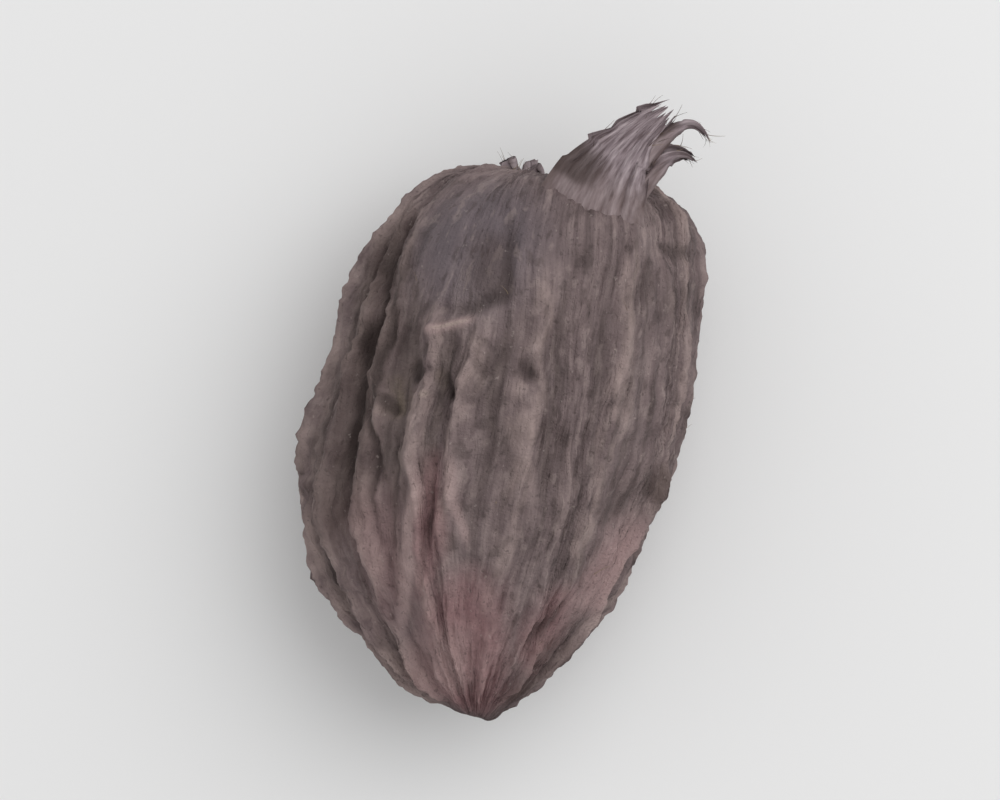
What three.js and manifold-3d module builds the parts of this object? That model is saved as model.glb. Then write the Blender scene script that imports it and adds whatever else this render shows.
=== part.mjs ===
// Black cardamom pod: one dried seed capsule, lying on its side on a small flat spot.
// Millimetres, +Z up. The pod's length runs along Y, with its stalk tip towards -Y and its
// broad end, where the dried calyx has torn away, towards +Y. The husk grew as one piece,
// so ridges, calyx shreds and husk are one solid.
import * as THREE from "three";
import { mergeVertices } from "three/addons/utils/BufferGeometryUtils.js";
import Module from "manifold-3d";

// Driving dimensions of the smooth body, before the ridges are raised on it
const BODY_LENGTH = 26.8;
const LEFT_REACH = 9.7;
const RIGHT_REACH = 8.1;
const UPPER_REACH = 8.1;
const UNDER_REACH = 7.7;
const LOBE_SHARE = 0.035; // three seed cells give the section three soft lobes
const REST_CUT = 0.22; // how far the resting spot cuts into the smooth underside

// Ridges run from the tip to the shoulder of the broad end. Number 0 is on the left side (-X), and the
// numbers go over the top to the right.
const RIDGES = 20;
const RIDGE_HEIGHT = 0.72;
const LEFT_BIAS = 0.3; // ridges on the left stand this share higher, and those on the right lower
const RIDGE_FOOT = 0.47; // half a ridge's width, as a share of the ridge spacing
const RIDGE_SHARPNESS = 1.25;
const TROUGH_DEPTH = 0.18;
const RIDGE_START = [0.015, 0.13]; // shares of the way from the tip to the broad end
const RIDGE_END = [0.73, 0.9];

// Each ridge sways, crinkles, varies in height and stops by waves of its own. A wave's value is
// height * sin(along * share + step * ridge + start), where ridge is the ridge's number.
const SWAY_WAVES = [
  { height: 0.2, along: 0, step: 2.4, start: 1 },
  { height: 0.13, along: 9.5, step: 1.9, start: 0 },
  { height: 0.05, along: 38, step: 4.1, start: 0 },
]; // in ridge spacings
const STRENGTH_WAVES = [
  { height: 0.24, along: 0, step: 2.9, start: 0.5 },
  { height: 0.16, along: 31, step: 2.3, start: 0 },
];
const MEAN_STRENGTH = 0.68;
const END_WAVES = [{ height: 0.05, along: 0, step: 3.7, start: 0 }];

// Smooth bulges lift the husk at the broad end: a dome at the upper left, and a collar to its right that
// the torn flap of the calyx grows out of
const BULGES = [
  { centre: new THREE.Vector3(-3.4, 22.6, 6.3), radius: 4.2, height: 0.45 },
  { centre: new THREE.Vector3(2.2, 25.2, 5.2), radius: 2.6, height: 0.6 },
];

// Mesh density
const COLUMNS_PER_RIDGE = 5;
const ROWS = 44;
const SHRED_SIDES = 8;
const SHRED_STEPS = 8;
const SHORT_STEP = 1e-3; // a step over the smooth body, in shares and in radians
const MERGE_TOLERANCE = 1e-4;
const SLIVER = 0.01; // shorter edges that a join leaves behind are closed up

// The body's outlines from tip to broad end: [share of the side's reach, share of the length].
// The last points dip inwards: that is the shallow crater left by the calyx.
const LEFT_OUTLINE = [
  [0, 0], [0.12, 0], [0.36, 0.045], [0.72, 0.165], [0.94, 0.28], [1, 0.4], [0.97, 0.56],
  [0.86, 0.77], [0.75, 0.875], [0.59, 0.96], [0.36, 0.995], [0.18, 0.985], [0, 0.95],
];
const RIGHT_OUTLINE = [
  [0, 0], [0.14, 0], [0.47, 0.13], [0.7, 0.25], [0.85, 0.38], [0.95, 0.5], [1, 0.68],
  [0.96, 0.85], [0.88, 0.935], [0.74, 0.983], [0.5, 1], [0.22, 0.985], [0, 0.95],
];
const UPPER_OUTLINE = [
  [0, 0], [0.14, 0], [0.45, 0.085], [0.76, 0.22], [0.95, 0.38], [1, 0.53], [0.97, 0.69],
  [0.86, 0.84], [0.64, 0.95], [0.38, 0.992], [0.19, 0.985], [0, 0.95],
];

const outlineCurve = (points, reach) =>
  new THREE.SplineCurve(points.map(([out, along]) => new THREE.Vector2(out * reach, along * BODY_LENGTH)));

const rightCurve = outlineCurve(RIGHT_OUTLINE, RIGHT_REACH);
const leftCurve = outlineCurve(LEFT_OUTLINE, LEFT_REACH);
const upperCurve = outlineCurve(UPPER_OUTLINE, UPPER_REACH);
const underCurve = outlineCurve(UPPER_OUTLINE, UNDER_REACH);

// A point of the smooth body: share 0 is the tip and 1 the broad end, angle 0 is +X and a quarter turn
// is +Z.
function bodyPoint(share, angle) {
  const across = Math.cos(angle);
  const up = Math.sin(angle);
  const side = (across < 0 ? leftCurve : rightCurve).getPointAt(share);
  const face = (up < 0 ? underCurve : upperCurve).getPointAt(share);
  const outline = side.multiplyScalar(across * across).addScaledVector(face, up * up);
  const reach = outline.x * (1 + LOBE_SHARE * Math.cos(3 * (angle - Math.PI / 2)));
  return new THREE.Vector3(reach * across, outline.y, reach * up);
}

// The body's outward direction at a point, from two short steps over its surface.
function bodyNormal(share, angle) {
  const along = bodyPoint(share + SHORT_STEP, angle).sub(bodyPoint(share - SHORT_STEP, angle));
  const around = bodyPoint(share, angle + SHORT_STEP).sub(bodyPoint(share, angle - SHORT_STEP));
  return along.cross(around).normalize();
}

const waveSum = (waves, ridge, share) =>
  waves.reduce((sum, { height, along, step, start }) => {
    return sum + height * Math.sin(along * share + step * ridge + start);
  }, 0);

function ridgeStrength(ridge, share) {
  const late = waveSum(END_WAVES, ridge, share);
  const fade =
    THREE.MathUtils.smoothstep(share, ...RIDGE_START) *
    (1 - THREE.MathUtils.smoothstep(share - late, ...RIDGE_END));
  const side = 1 + LEFT_BIAS * Math.cos((2 * Math.PI * ridge) / RIDGES);
  return fade * side * (MEAN_STRENGTH + waveSum(STRENGTH_WAVES, ridge, share));
}

const ridgeCrest = (spacings) => Math.max(0, 1 - spacings / RIDGE_FOOT) ** RIDGE_SHARPNESS;

// A point of the ridged husk. turns runs once round the pod, and ridges stand at its even divisions.
function huskPoint(turns, share) {
  const place = turns * RIDGES;
  const before = Math.floor(place);
  const past = place - before;
  const here = before % RIDGES;
  const next = (before + 1) % RIDGES;
  const sway = THREE.MathUtils.lerp(
    waveSum(SWAY_WAVES, here, share),
    waveSum(SWAY_WAVES, next, share),
    past,
  );
  const angle = Math.PI - (2 * Math.PI * (place + sway)) / RIDGES;
  const point = bodyPoint(share, angle);
  const bulges = BULGES.map(({ centre, radius }) => Math.exp(-point.distanceToSquared(centre) / radius ** 2));
  const swell = BULGES.reduce((sum, { height }, i) => sum + height * bulges[i], 0);
  const left = ridgeStrength(here, share);
  const right = ridgeStrength(next, share);
  const ridges = RIDGE_HEIGHT * (ridgeCrest(past) * left + ridgeCrest(1 - past) * right);
  const trough = TROUGH_DEPTH * Math.sin(Math.PI * past) * Math.max(left, right);
  const relief = (ridges - trough) * (1 - Math.max(...bulges)) + swell;
  return relief === 0 ? point : point.addScaledVector(bodyNormal(share, angle), relief);
}

// The husk is a sphere's grid of faces, carried over to the pod's own points.
function huskGeometry() {
  const geometry = new THREE.SphereGeometry(1, RIDGES * COLUMNS_PER_RIDGE, ROWS);
  const { position, uv } = geometry.attributes;
  for (let i = 0; i < position.count; i++) {
    const share = uv.getY(i);
    const atPole = share === 0 || share === 1;
    const point = atPole ? bodyPoint(share, 0) : huskPoint(uv.getX(i) % 1, share);
    position.setXYZ(i, ...point);
  }
  return geometry;
}

// Torn shreds of dried calyx stand at the rim of the crater. Each runs along a bent path from a root
// inside the husk to its tip, as an arched blade that narrows and thins towards the tip.
const SHRED_TIP_WIDTH = 0.14; // a share of the width at the root
const SHRED_TIP_THICKNESS = 0.62;
const SHRED_TAPER = 1.4;
const SHRED_ARCH = 0.16; // how far a blade's edges hang back, as a share of its width

// Three large ones at the upper right make one torn flap: a broad sheet, and two hooked points that
// split off its right side
const UP = new THREE.Vector3(0, 0, 1);
const LARGE_SHREDS = [
  { root: [1.7, 22.6, 4.3], bend: [1.4, 27.3, 7], tip: [5.1, 30.6, 6.2], width: 6.2, thickness: 2.2 },
  { root: [3, 25.6, 5.3], bend: [5.6, 31.6, 7.2], tip: [6.9, 29, 5], width: 1.3, thickness: 0.7 },
  { root: [2.9, 24.8, 4.8], bend: [5.1, 29.8, 6.6], tip: [6.4, 28, 4.6], width: 1.6, thickness: 0.7 },
];
const largeShred = (shred) => ({ ...shred, face: UP });

// Short ones ring the rest of the rim, from its left side round below to its right. Each strays from
// the even places and sizes by sines of its number.
const RIM_SHREDS = 7;
const RIM_FROM = THREE.MathUtils.degToRad(120);
const RIM_STEP = THREE.MathUtils.degToRad(36);
const RIM_STEP_STRAY = THREE.MathUtils.degToRad(11);
const RIM_RADIUS = 2.1;
const RIM_RADIUS_STRAY = 0.3;
const RIM_ROOT_Y = 24.8;
const RIM_BEND_Y = 26.2;
const RIM_TIP_Y = 26.8;
const RIM_TIP_STRAY = 0.35;
const RIM_BEND_SHARE = 0.95; // of the radius at the root
const RIM_TIP_SHARE = 1.1;
const RIM_WIDTH = 1.9;
const RIM_WIDTH_STRAY = 0.4;
const RIM_THICKNESS = 0.8;

function rimShred(_, number) {
  const angle = RIM_FROM + number * RIM_STEP + RIM_STEP_STRAY * Math.sin(2.1 * number);
  const radius = RIM_RADIUS + RIM_RADIUS_STRAY * Math.sin(1.7 * number);
  const tipY = RIM_TIP_Y + RIM_TIP_STRAY * Math.sin(2.6 * number);
  const outward = new THREE.Vector3(Math.cos(angle), 0, Math.sin(angle));
  const at = (reach, y) => [outward.x * reach, y, outward.z * reach];
  return {
    root: at(radius, RIM_ROOT_Y),
    bend: at(radius * RIM_BEND_SHARE, RIM_BEND_Y),
    tip: at(radius * RIM_TIP_SHARE, tipY),
    width: RIM_WIDTH + RIM_WIDTH_STRAY * Math.sin(3.1 * number),
    thickness: RIM_THICKNESS,
    face: outward,
  };
}

function shredGeometry({ root, bend, tip, width, thickness, face }) {
  const path = new THREE.QuadraticBezierCurve3(
    new THREE.Vector3(...root),
    new THREE.Vector3(...bend),
    new THREE.Vector3(...tip),
  );
  const geometry = new THREE.CylinderGeometry(1, 1, 1, SHRED_SIDES, SHRED_STEPS);
  const { position } = geometry.attributes;
  const widthWay = new THREE.Vector3();
  const thicknessWay = new THREE.Vector3();
  for (let i = 0; i < position.count; i++) {
    const share = position.getY(i) + 0.5;
    const tangent = path.getTangent(share);
    widthWay.crossVectors(tangent, face).normalize();
    thicknessWay.crossVectors(widthWay, tangent);
    const bladeWidth = width * THREE.MathUtils.lerp(1, SHRED_TIP_WIDTH, share ** SHRED_TAPER);
    const bladeThickness = THREE.MathUtils.lerp(thickness, SHRED_TIP_THICKNESS, share);
    const across = position.getX(i);
    const arch = SHRED_ARCH * bladeWidth * across ** 2;
    const point = path
      .getPoint(share)
      .addScaledVector(widthWay, (across * bladeWidth) / 2)
      .addScaledVector(thicknessWay, (position.getZ(i) * bladeThickness) / 2 - arch);
    position.setXYZ(i, ...point);
  }
  return geometry;
}

// Joins and cuts between closed meshes
const wasm = await Module();
wasm.setup();

function solidOf(geometry) {
  const bare = geometry.clone();
  bare.deleteAttribute("normal");
  bare.deleteAttribute("uv");
  const merged = mergeVertices(bare, MERGE_TOLERANCE);
  return new wasm.Manifold(
    new wasm.Mesh({
      numProp: 3,
      vertProperties: merged.attributes.position.array,
      triVerts: new Uint32Array(merged.index.array),
    }),
  );
}

function geometryOf(solid) {
  const { vertProperties, triVerts } = solid.getMesh();
  return new THREE.BufferGeometry()
    .setAttribute("position", new THREE.BufferAttribute(vertProperties, 3))
    .setIndex(new THREE.BufferAttribute(triVerts, 1));
}

// The block below the pod that its underside is pressed flat against
function restingBlock() {
  const depth = 4 * REST_CUT;
  const top = REST_CUT - UNDER_REACH * (1 - LOBE_SHARE);
  return new THREE.BoxGeometry(2 * BODY_LENGTH, 4 * BODY_LENGTH, depth).translate(0, 0, top - depth / 2);
}

function podGeometry() {
  const rim = Array.from({ length: RIM_SHREDS }, rimShred);
  const shreds = [...LARGE_SHREDS.map(largeShred), ...rim].map((shred) => solidOf(shredGeometry(shred)));
  const whole = shreds.reduce((sum, shred) => sum.add(shred), solidOf(huskGeometry()));
  const geometry = geometryOf(whole.subtract(solidOf(restingBlock())).simplify(SLIVER));
  geometry.computeBoundingBox();
  const { min, max } = geometry.boundingBox;
  geometry.translate(-(min.x + max.x) / 2, -(min.y + max.y) / 2, -min.z);
  geometry.computeVertexNormals();
  return geometry;
}

const driedHusk = new THREE.MeshStandardMaterial({ color: 0x5c4a46, roughness: 0.85, metalness: 0 });

const pod = new THREE.Mesh(podGeometry(), driedHusk);
pod.name = "pod";

const cardamomPod = new THREE.Group();
cardamomPod.add(pod);

export default cardamomPod;
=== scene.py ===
"""A dried black cardamom pod, lying on its side: the ridged husk, the torn calyx and its fibres."""

import math

import bpy
import numpy as np
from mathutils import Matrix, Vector


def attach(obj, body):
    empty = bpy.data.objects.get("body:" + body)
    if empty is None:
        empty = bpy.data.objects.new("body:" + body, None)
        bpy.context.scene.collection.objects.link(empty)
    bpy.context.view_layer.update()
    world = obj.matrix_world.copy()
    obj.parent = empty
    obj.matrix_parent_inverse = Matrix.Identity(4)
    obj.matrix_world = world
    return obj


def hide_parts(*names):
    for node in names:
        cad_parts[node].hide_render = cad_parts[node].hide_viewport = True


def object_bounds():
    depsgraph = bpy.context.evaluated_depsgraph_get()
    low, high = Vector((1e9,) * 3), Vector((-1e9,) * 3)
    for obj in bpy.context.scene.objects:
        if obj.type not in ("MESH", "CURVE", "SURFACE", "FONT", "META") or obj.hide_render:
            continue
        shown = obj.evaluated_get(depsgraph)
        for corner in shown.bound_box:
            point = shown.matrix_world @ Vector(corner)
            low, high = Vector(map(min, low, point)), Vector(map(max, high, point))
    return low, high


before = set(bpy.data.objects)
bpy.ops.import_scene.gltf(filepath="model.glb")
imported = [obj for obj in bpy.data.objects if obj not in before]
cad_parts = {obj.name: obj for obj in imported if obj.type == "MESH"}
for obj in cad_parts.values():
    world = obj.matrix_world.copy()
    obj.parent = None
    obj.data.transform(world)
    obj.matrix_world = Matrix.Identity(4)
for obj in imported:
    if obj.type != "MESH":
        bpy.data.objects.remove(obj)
cad_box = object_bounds()

# The husk is the dried wall of the seed capsule, tough and leathery. It grew as one closed egg, with
# a blunt stalk tip towards -Y and a shallow crater at the broad end, where the flower sat. This is
# its smooth body, in millimetres from the middle of the tip, with a column of points along each ridge.
MM = 0.001
BODY_LENGTH = 26.8
LEFT_REACH = 9.7
RIGHT_REACH = 8.1
UPPER_REACH = 8.1
UNDER_REACH = 7.7
LOBE_SHARE = 0.035  # three seed cells give the section three soft lobes
REST_CUT = 0.22  # how far the resting spot cuts into the smooth underside
AXIS_RIGHT = 1.135  # the left side bulges more, so the axis lies right of the middle
TIP_BULGE = 0.24  # the blunt tip's edge stands this far past its middle
RIDGES = 20
COLUMNS_PER_RIDGE = 20
ROWS = 236

# Outlines from the tip to the crater: share of the side's reach, share of the length
LEFT_OUTLINE = [
    (0, 0), (0.12, 0), (0.36, 0.045), (0.72, 0.165), (0.94, 0.28), (1, 0.4), (0.97, 0.56),
    (0.86, 0.77), (0.75, 0.875), (0.59, 0.96), (0.36, 0.995), (0.18, 0.985), (0, 0.95),
]
RIGHT_OUTLINE = [
    (0, 0), (0.14, 0), (0.47, 0.13), (0.7, 0.25), (0.85, 0.38), (0.95, 0.5), (1, 0.68),
    (0.96, 0.85), (0.88, 0.935), (0.74, 0.983), (0.5, 1), (0.22, 0.985), (0, 0.95),
]
UPPER_OUTLINE = [
    (0, 0), (0.14, 0), (0.45, 0.085), (0.76, 0.22), (0.95, 0.38), (1, 0.53), (0.97, 0.69),
    (0.86, 0.84), (0.64, 0.95), (0.38, 0.992), (0.19, 0.985), (0, 0.95),
]

# Each ridge sways, crinkles, varies in height and stops by waves of its own. A wave is its height,
# its turns along the pod, its step from one ridge to the next, and its start.
SWAY_WAVES = [(0.2, 0, 2.4, 1), (0.13, 9.5, 1.9, 0), (0.05, 38, 4.1, 0)]
STRENGTH_WAVES = [(0.24, 0, 2.9, 0.5), (0.16, 31, 2.3, 0)]
MEAN_STRENGTH = 0.68
END_WAVES = [(0.05, 0, 3.7, 0)]
LEFT_BIAS = 0.3  # ridges on the left stand this share higher, and those on the right lower
RIDGE_START = (0.015, 0.13)
RIDGE_END = (0.73, 0.9)


def smoothstep(value, low, high):
    t = np.clip((value - low) / (high - low), 0, 1)
    return t * t * (3 - 2 * t)


def outline_points(outline, reach, shares):
    """Points of a smooth curve through an outline, at even shares of its length."""
    knots = np.array(outline, float) * (reach, BODY_LENGTH)
    padded = np.vstack([knots[:1], knots, knots[-1:]])
    steps = np.linspace(0, len(knots) - 1, 4000)
    first = np.minimum(steps.astype(int), len(knots) - 2)
    t = (steps - first)[:, None]
    before, start, end, after = (padded[first + k] for k in range(4))
    leave, arrive = (end - before) / 2, (after - start) / 2
    curve = (
        (2 * start - 2 * end + leave + arrive) * t**3
        + (3 * end - 3 * start - 2 * leave - arrive) * t**2
        + leave * t
        + start
    )
    run = np.concatenate([[0], np.cumsum(np.linalg.norm(np.diff(curve, axis=0), axis=1))])
    return np.column_stack([np.interp(shares * run[-1], run, curve[:, k]) for k in range(2)])


def wave_sum(waves, ridge, share):
    return sum(h * np.sin(along * share + step * ridge + start) for h, along, step, start in waves)


def ridge_strength(ridge, share):
    late = wave_sum(END_WAVES, ridge, share)
    fade = smoothstep(share, *RIDGE_START) * (1 - smoothstep(share - late, *RIDGE_END))
    side = 1 + LEFT_BIAS * np.cos(2 * np.pi * ridge / RIDGES)
    return fade * side * (MEAN_STRENGTH + wave_sum(STRENGTH_WAVES, ridge, share))


def new_piece(name, points, faces, **attributes):
    """A smooth-shaded piece from points in millimetres; each attribute is a number or vector a point."""
    mesh = bpy.data.meshes.new(name)
    mesh.from_pydata((axis_start + points * MM).tolist(), [], faces)
    for label, values in attributes.items():
        kind, field = ("FLOAT_VECTOR", "vector") if values.ndim == 2 else ("FLOAT", "value")
        mesh.attributes.new(label, kind, "POINT").data.foreach_set(field, values.astype(np.float32).ravel())
    mesh.shade_smooth()
    piece = bpy.data.objects.new(name, mesh)
    bpy.context.scene.collection.objects.link(piece)
    return piece


def closed_tube(rows, columns):
    """Faces of rings of points, closed at each end on a single point, which come last of all."""
    ring = np.arange(rows * columns).reshape(rows, columns)
    beside = np.roll(ring, -1, axis=1)
    walls = np.stack([ring[:-1], beside[:-1], beside[1:], ring[1:]], axis=-1).reshape(-1, 4)
    first, last = rows * columns, rows * columns + 1
    caps = [(first, b, a) for a, b in zip(ring[0], beside[0])]
    caps += [(last, a, b) for a, b in zip(ring[-1], beside[-1])]
    return walls.tolist() + [tuple(int(i) for i in cap) for cap in caps]


axis_start = np.array([
    AXIS_RIGHT * MM,
    cad_box[0].y + TIP_BULGE * MM,
    (UNDER_REACH * (1 - LOBE_SHARE) - REST_CUT) * MM,
])

place = np.arange(RIDGES * COLUMNS_PER_RIDGE)[None, :] / COLUMNS_PER_RIDGE
share = (np.arange(1, ROWS) / ROWS)[:, None]
here = np.floor(place)
past = place - here
following = (here + 1) % RIDGES
sway = (1 - past) * wave_sum(SWAY_WAVES, here, share) + past * wave_sum(SWAY_WAVES, following, share)
angle = np.pi - 2 * np.pi * (place + sway) / RIDGES
across, up = np.cos(angle), np.sin(angle)

row_shares = np.concatenate([[0], share[:, 0], [1]])
right, left, upper, under = (
    outline_points(outline, reach, row_shares)
    for outline, reach in (
        (RIGHT_OUTLINE, RIGHT_REACH),
        (LEFT_OUTLINE, LEFT_REACH),
        (UPPER_OUTLINE, UPPER_REACH),
        (UPPER_OUTLINE, UNDER_REACH),
    )
)
side = np.where((across < 0)[..., None], left[1:-1, None], right[1:-1, None])
face = np.where((up < 0)[..., None], under[1:-1, None], upper[1:-1, None])
outline = side * across[..., None] ** 2 + face * up[..., None] ** 2
reach = outline[..., 0] * (1 + LOBE_SHARE * np.cos(3 * (angle - np.pi / 2)))
body = np.stack([reach * across, outline[..., 1], reach * up], axis=-1).reshape(-1, 3)
ends = np.array([[0, right[0, 1], 0], [0, right[-1, 1], 0]])
husk_points = np.vstack([body, ends])


def with_ends(values, tip, broad):
    """Values on the rings of the husk, and on its two end points."""
    return np.concatenate([np.broadcast_to(values, angle.shape).ravel(), [tip, broad]])


strength_here = ridge_strength(here, share)
strength_next = ridge_strength(following, share)
husk_share = with_ends(share, 0, 1)
husk_turn = with_ends(2 * np.pi * place / RIDGES, 0, 0)

# What this one pod has besides its ridges: a smooth dome at the upper left, a collar that the torn calyx
# grows out of, raised and sunken lines, stains, and marks of painted shade. A bulge has a centre and a
# radius. A mark is a line of places on the upper side, seen from above, with a width and a strength.
BULGES = {
    "dome": ((-3.4, 22.6, 6.3), 4.2),
    "collar": ((2.2, 25.2, 5.2), 2.6),
}
MARKS = {
    "raised": [
        ([(-5.3, 17.6), (-3.9, 18.4), (-2.4, 19.2)], 0.24, 0.3),
        ([(-4.9, 15.2), (-4.4, 15.0)], 0.4, 0.28),
        ([(-1.1, 15.6), (-0.5, 15.8)], 0.38, 0.26),
        ([(7.4, 13.4), (7.1, 11.6)], 0.5, 0.2),
        ([(-7.5, 6.0), (-7.2, 5.0)], 0.6, 0.2),
    ],
    # sunken lines, creases and pits; the skin also darkens them with painted shade
    "sunk": [
        ([(-2.3, 25.0), (-1.6, 22.6), (-1.7, 20.6), (-3.0, 19.4), (-5.4, 19.2)], 0.55, 0.3),
        ([(0.4, 26.4), (2.4, 25.6), (3.8, 25.0), (5.0, 24.4)], 0.4, 0.18),
        ([(0.3, 24.1), (1.7, 24.8), (3.0, 25.0)], 0.4, 0.2),
        ([(5.1, 24.2), (6.4, 23.7), (7.8, 23.5)], 0.4, 0.26),
        ([(3.9, 6.8), (2.8, 4.8), (1.8, 3.0)], 0.42, 0.3),
        ([(-7.1, 23.6), (-7.6, 18.0), (-8.1, 13.0), (-7.7, 7.6)], 0.24, 0.42),
        ([(-6.2, 23.8), (-6.8, 18.0), (-7.0, 13.0), (-6.0, 6.6)], 0.22, 0.36),
        ([(-5.7, 13.6), (-5.6, 10.0), (-5.2, 6.4)], 0.2, 0.22),
        ([(-3.9, 12.6), (-3.8, 9.0), (-3.6, 4.8)], 0.26, 0.22),
        ([(-5.8, 16.7), (-5.0, 15.7)], 0.36, 0.42),
        ([(-4.1, 16.3), (-3.3, 15.0)], 0.3, 0.36),
        ([(-0.2, 17.7), (0.4, 16.2)], 0.34, 0.3),
        ([(-6.7, 15.1), (-5.9, 13.7)], 0.4, 0.38),
        ([(-2.8, 17.2), (-2.0, 16.1)], 0.26, 0.22),
        ([(5.8, 12.2), (5.0, 9.6)], 0.5, 0.2),
    ],
    "ragged": [([(-6.2, 25.0), (-7.4, 22.0), (-8.3, 18.4)], 1.1, 0.9)],
    "pale": [
        ([(-4.7, 12.0), (-4.6, 8.0), (-4.2, 3.0)], 0.34, 1),
        ([(-3.1, 12.6), (-2.4, 10.0), (-1.4, 7.6)], 0.32, 0.9),
        # the pale top of the fold below the dome is a painted highlight
        ([(-5.2, 17.6), (-3.9, 18.4), (-2.5, 19.2)], 0.3, 1),
        ([(7.0, 12.2), (5.4, 8.0), (3.4, 3.8)], 1.2, 0.6),
        ([(-2.6, 4.6), (-0.8, 0.4)], 1.5, 0.8),
    ],
    "red": [
        ([(-1.9, 7.8), (-0.9, 2.2), (0.0, -3.4)], 2.4, 1),
        ([(-3.9, 13.0), (-3.7, 9.0), (-3.4, 4.0)], 0.9, 0.8),
        ([(4.2, 7.4), (2.8, 4.8), (1.4, 2.2)], 1.1, 0.8),
        ([(6.8, 11.0), (4.0, 5.0)], 1.2, 0.6),
        ([(-7.0, 11.4), (-6.0, 7.6), (-3.4, 2.2)], 2.0, 0.45),
    ],
    "olive": [
        ([(-6.4, 16.2), (-5.8, 14.8), (-6.3, 13.4)], 0.6, 0.8),
        ([(-4.6, 16.4), (-3.8, 15.2)], 0.4, 0.6),
    ],
    # Dark marks. At the right of the tip, on the dome's right side and below the calyx flap they are painted
    # shade; down the left side they are partly stain and partly painted shade; the two at the right edge are
    # stains.
    "dark": [
        ([(4.0, 4.9), (2.4, 2.2), (1.0, 0.2)], 0.7, 1),
        ([(5.8, 13.0), (5.2, 9.6)], 1.1, 0.45),
        ([(-6.4, 11.6), (-5.2, 7.0), (-3.4, 3.4)], 1.5, 0.4),
        ([(7.6, 13.8), (7.2, 12.6), (6.9, 11.4)], 0.7, 1),
        ([(-6.9, 25.0), (-7.6, 21.6), (-8.4, 17.4)], 1.3, 1),
        ([(-2.4, 23.4), (-2.6, 19.8)], 1.3, 0.8),
        ([(0.2, 26.8), (2.4, 25.8), (4.6, 25.0)], 0.7, 0.6),
        ([(-6.8, 22.6), (-8.0, 13.0), (-7.6, 6.0)], 1.6, 0.9),
    ],
}
WAVER = 0.22  # no line on it is straight
WAVER_SIZE = 0.55
WAVES_IN_WAVER = 7
UPPER_FADE = (0, 2)  # marks fade out between these heights
chance = np.random.default_rng(11)


def ripple(plan, size):
    """A gentle, irregular wave over places seen from above, about zero."""
    turns = chance.uniform(0, 2 * np.pi, (2, WAVES_IN_WAVER))
    pace = chance.uniform(0.5, 1.6, WAVES_IN_WAVER) / size
    return np.sin(plan @ (pace * [np.cos(turns[0]), np.sin(turns[0])]) + turns[1]).sum(axis=1) / 4


def marked(marks, points):
    """How strongly points of the upper side lie in marks, which thin out at both ends."""
    plan = points[:, :2] + wavered
    total = np.zeros(len(points))
    for line, width, strength in marks:
        steps = list(zip(np.array(line[:-1]), np.array(line[1:])))
        for step, (start, end) in enumerate(steps):
            way = end - start
            along = np.clip((plan - start) @ way / (way @ way), 0, 1)
            near = np.linalg.norm(plan - start - along[:, None] * way, axis=1)
            fullness = 1 - abs(2 * (step + along) / len(steps) - 1) ** 3
            total = np.maximum(total, strength * fullness * np.exp(-((near / width) ** 2)))
    return total * smoothstep(points[:, 2], *UPPER_FADE)


wavered = WAVER * np.column_stack([ripple(husk_points[:, :2], WAVER_SIZE) for _ in range(2)])

# Loose fibres fray out of the husk along its length: at the tip, in tufts round the crater and a few all
# over, but none near the table. A pair says where a change begins and ends, by share of the length, by
# height in millimetres or by the height of a wave.
TIP_FRAY = 0.3
STRAY_FRAY = 0.004
TIP_FRAY_STOPS = (0.01, 0.03)
RIM_FRAY_STARTS = (0.9, 0.93)
RIM_FRAY_STOPS = (0.95, 0.98)
TUFTS = 7
TUFT_EDGES = (-0.2, 0.9)
CLEAR_OF_TABLE = (-6, -4)
CRATER_FROM = 0.86
TIP_UP_TO = 0.1
tip_fray = TIP_FRAY * (1 - smoothstep(husk_share, *TIP_FRAY_STOPS))
rim_fray = smoothstep(husk_share, *RIM_FRAY_STARTS) * (1 - smoothstep(husk_share, *RIM_FRAY_STOPS))
tufted = smoothstep(np.sin(TUFTS * husk_turn + 3 * np.sin(2 * husk_turn)), *TUFT_EDGES)
clear_of_table = smoothstep(husk_points[:, 2], *CLEAR_OF_TABLE)
lengthwise = np.gradient(body.reshape(*angle.shape, 3), axis=0).reshape(-1, 3)
lengthwise = np.vstack([lengthwise, [(0, -1, 0), (0, 1, 0)]])
lengthwise /= np.linalg.norm(lengthwise, axis=1, keepdims=True)
fray_way = np.where((husk_share > CRATER_FROM)[:, None], (lengthwise + (0, 1, 0)) / 2, lengthwise)
fray_way = np.where((husk_share < TIP_UP_TO)[:, None], -lengthwise, fray_way)

# The ridges are lower on the upper side, where the pod has been rubbed: right of a line that steps to the
# right part of the way up, and towards the tip. A pair says where a change begins and ends, in millimetres.
RUBBED_OFF = 0.22
RUBBED_OFF_AT_TIP = 0.35
RUBBED_LEFT_EDGE = -7.5
RUBBED_EDGE_STEP = 2.5
RUBBED_EDGE_STEPS_AT = (8, 13)
RUBBED_EDGE_SOFTNESS = (0, 3)
RUBBED_TIP_STOPS = (6, 13)
UPPER_SIDE = (1, 4)
upper_side = smoothstep(body[:, 2], *UPPER_SIDE)
rubbed_from = RUBBED_LEFT_EDGE + RUBBED_EDGE_STEP * smoothstep(body[:, 1], *RUBBED_EDGE_STEPS_AT)
rubbed = 1 - RUBBED_OFF * smoothstep(body[:, 0] - rubbed_from, *RUBBED_EDGE_SOFTNESS) * upper_side
rubbed *= 1 - RUBBED_OFF_AT_TIP * (1 - smoothstep(body[:, 1], *RUBBED_TIP_STOPS)) * upper_side
rubbed = rubbed.reshape(angle.shape)

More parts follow.
